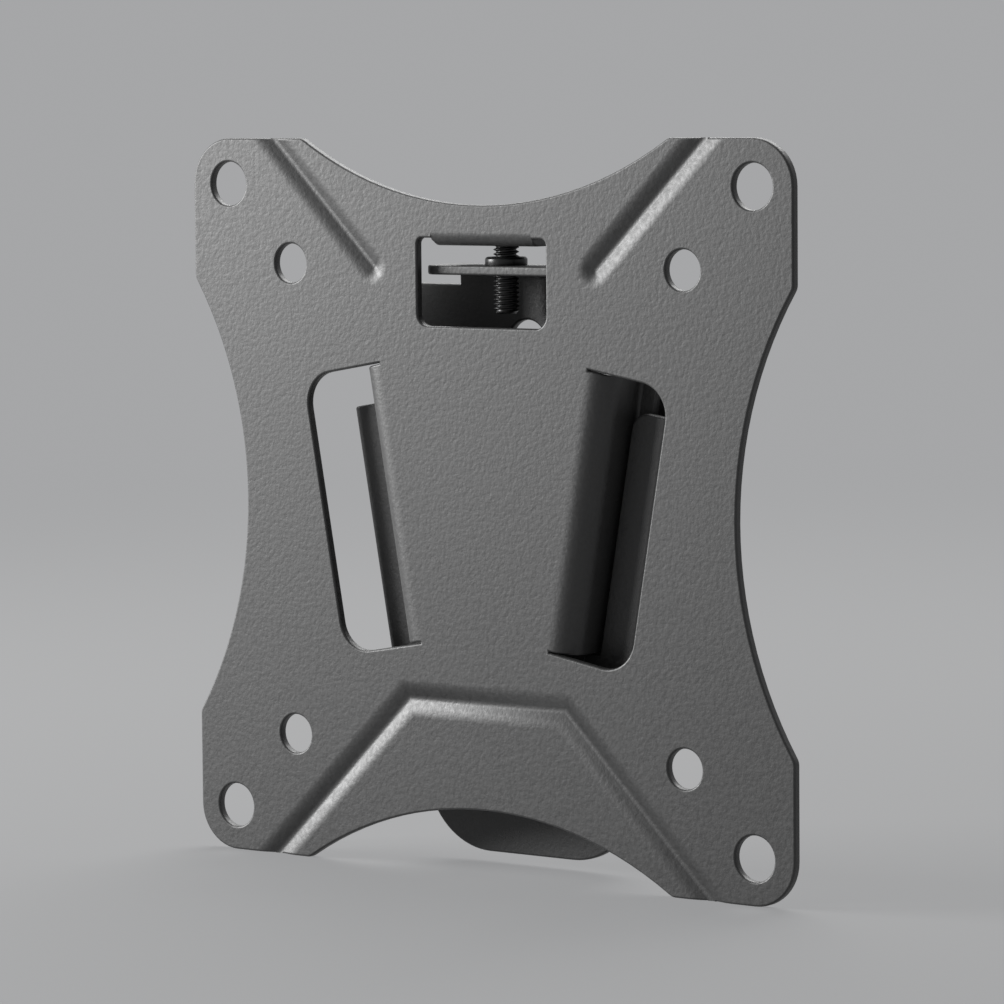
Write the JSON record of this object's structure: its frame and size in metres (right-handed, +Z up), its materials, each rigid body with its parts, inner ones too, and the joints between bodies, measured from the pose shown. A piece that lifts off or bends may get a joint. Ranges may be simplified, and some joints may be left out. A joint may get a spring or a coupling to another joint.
{
  "type": "fixed tv wall mount",
  "caption": "Slim fixed wall mount for a small screen: a waisted steel plate whose tapered tabs slide down into a folded wall plate, held by a lock screw.",
  "frame": {"origin": "on the wall plane (the wall plate's back face), behind the centre of the screen hole patterns", "axes": "+X to the right of someone facing the mount, +Y into the wall, +Z up"},
  "size_m": [0.1144, 0.0135, 0.1144],
  "materials": {
    "graphite_coat": "fine-textured, semi-matt graphite powder coat",
    "black_steel": "black-finished steel"
  },
  "bodies": {
    "wall": {"wall_plate": "graphite_coat", "thread_bush": "black_steel"},
    "screen": {"screen_plate": "graphite_coat"},
    "screw": {"lock_screw": "black_steel"}
  },
  "joints": [
    {"name": "plate_lift", "type": "slide", "parent": "wall", "child": "screen", "axis": [0, 0, 1], "range_m": [0, 0.016]},
    {"name": "lock_screw_turn", "type": "hinge", "parent": "screen", "child": "screw", "pos_m": [0, -0.00675, 0.0425], "axis": [0, 0, 1], "continuous": true}
  ]
}
